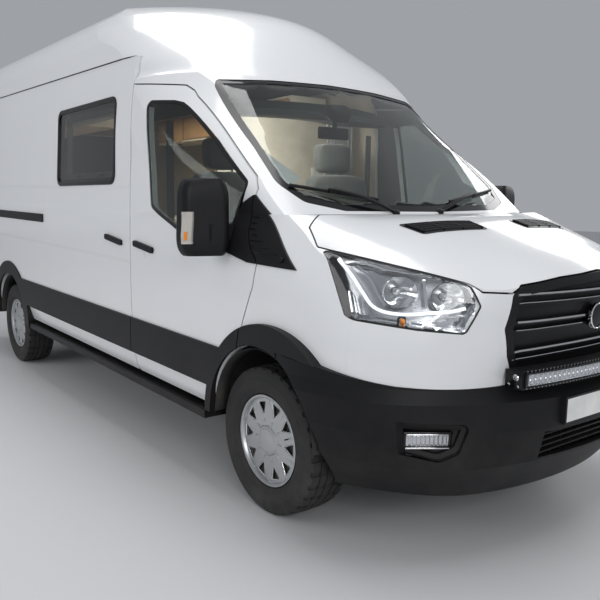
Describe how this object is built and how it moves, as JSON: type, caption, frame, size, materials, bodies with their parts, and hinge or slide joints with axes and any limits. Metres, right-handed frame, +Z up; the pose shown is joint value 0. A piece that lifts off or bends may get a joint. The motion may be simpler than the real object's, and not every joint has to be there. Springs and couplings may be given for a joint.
{
  "type": "camper van",
  "caption": "High-roof camper van with opening cab doors, rear doors and bonnet, steered and rolling wheels, and a fitted living space.",
  "frame": {"origin": "on the ground, under the middle of the vehicle's length and width", "axes": "+X forward, +Y to the vehicle's left, +Z up"},
  "size_m": [5.9809, 2.4756, 2.7894],
  "materials": {
    "body_paint": "white, high gloss",
    "black_plastic": "grained black",
    "bumper_plastic": "grained black",
    "glazing": "tinted",
    "lamp_lens": "clear",
    "lamp_red": "red lens",
    "floor_metal": "painted steel",
    "chassis_metal": "black coated steel",
    "engine_metal": "cast",
    "cab_plastic": "grained",
    "seat_fabric": "woven",
    "furniture_wood": "oiled",
    "wheel_paint": "silver painted",
    "tyre_rubber": "black rubber"
  },
  "bodies": {
    "root": {"side_wall_left": "body_paint", "side_wall_right": "body_paint", "sliding_door_right": "body_paint", "roof_panel": "body_paint", "cab_shell": "body_paint", "front_wings": "body_paint", "front_panel": "body_paint", "cowl_panel": "black_plastic", "grille": "black_plastic", "side_mouldings": "black_plastic", "side_steps": "black_plastic", "rear_bumper": "black_plastic", "slide_rail": "black_plastic", "light_bar": "black_plastic", "corner_plates": "black_plastic", "slide_handle": "black_plastic", "number_plate": "black_plastic", "front_bumper": "bumper_plastic", "windscreen": "glazing", "living_window": "glazing", "headlamps": "lamp_lens", "rear_lamps": "lamp_red", "floor_pan": "floor_metal", "underbody": "chassis_metal", "front_subframe": "chassis_metal", "rear_axle": "chassis_metal", "engine": "engine_metal", "dashboard": "cab_plastic", "seat_frames": "cab_plastic", "seat_pads": "seat_fabric", "kitchen_cabinet": "furniture_wood", "bed_platform": "furniture_wood"},
    "bonnet": {"bonnet": "body_paint"},
    "door_left": {"cab_door_left": "body_paint", "cab_glass_left": "glazing", "door_moulding_left": "black_plastic", "mirror_left": "black_plastic", "cab_handle_left": "black_plastic"},
    "rear_door_left": {"rear_door_left": "body_paint"},
    "knuckle_left": {"knuckle_left": "chassis_metal"},
    "wheel_front_left": {"wheel_front_left": "wheel_paint", "tyre_front_left": "tyre_rubber"},
    "wheel_rear_left": {"wheel_rear_left": "wheel_paint", "tyre_rear_left": "tyre_rubber"},
    "door_right": {"cab_door_right": "body_paint", "cab_glass_right": "glazing", "door_moulding_right": "black_plastic", "mirror_right": "black_plastic", "cab_handle_right": "black_plastic"},
    "rear_door_right": {"rear_door_right": "body_paint"},
    "knuckle_right": {"knuckle_right": "chassis_metal"},
    "wheel_front_right": {"wheel_front_right": "wheel_paint", "tyre_front_right": "tyre_rubber"},
    "wheel_rear_right": {"wheel_rear_right": "wheel_paint", "tyre_rear_right": "tyre_rubber"}
  },
  "joints": [
    {"name": "door_left_hinge", "type": "hinge", "parent": "root", "child": "door_left", "pos_m": [1.946, 1.018, 0.9], "axis": [0, 0, -1], "range_deg": [0, 68]},
    {"name": "door_right_hinge", "type": "hinge", "parent": "root", "child": "door_right", "pos_m": [1.946, -1.018, 0.9], "axis": [0, 0, 1], "range_deg": [0, 68]},
    {"name": "bonnet_hinge", "type": "hinge", "parent": "root", "child": "bonnet", "pos_m": [2.1, 0, 1.396], "axis": [0, -1, 0], "range_deg": [0, 50]},
    {"name": "rear_door_left_hinge", "type": "hinge", "parent": "root", "child": "rear_door_left", "pos_m": [-2.9655, 0.905, 1.3], "axis": [0, 0, -1], "range_deg": [0, 180]},
    {"name": "rear_door_right_hinge", "type": "hinge", "parent": "root", "child": "rear_door_right", "pos_m": [-2.9655, -0.905, 1.3], "axis": [0, 0, 1], "range_deg": [0, 180]},
    {"name": "steer_left", "type": "hinge", "parent": "root", "child": "knuckle_left", "pos_m": [1.9675, 0.79, 0.348], "axis": [0, 0, 1], "range_deg": [-35, 35]},
    {"name": "steer_right", "type": "hinge", "parent": "root", "child": "knuckle_right", "pos_m": [1.9675, -0.79, 0.348], "axis": [0, 0, 1], "range_deg": [-35, 35]},
    {"name": "spin_front_left", "type": "hinge", "parent": "knuckle_left", "child": "wheel_front_left", "pos_m": [1.9675, 0.866, 0.348], "axis": [0, 1, 0], "continuous": true},
    {"name": "spin_rear_left", "type": "hinge", "parent": "root", "child": "wheel_rear_left", "pos_m": [-1.7825, 0.8715, 0.348], "axis": [0, 1, 0], "continuous": true},
    {"name": "spin_front_right", "type": "hinge", "parent": "knuckle_right", "child": "wheel_front_right", "pos_m": [1.9675, -0.866, 0.348], "axis": [0, 1, 0], "continuous": true},
    {"name": "spin_rear_right", "type": "hinge", "parent": "root", "child": "wheel_rear_right", "pos_m": [-1.7825, -0.8715, 0.348], "axis": [0, 1, 0], "continuous": true}
  ],
  "couplings": [
    {"joint": "steer_right", "follows": "steer_left", "ratio": 1}
  ]
}
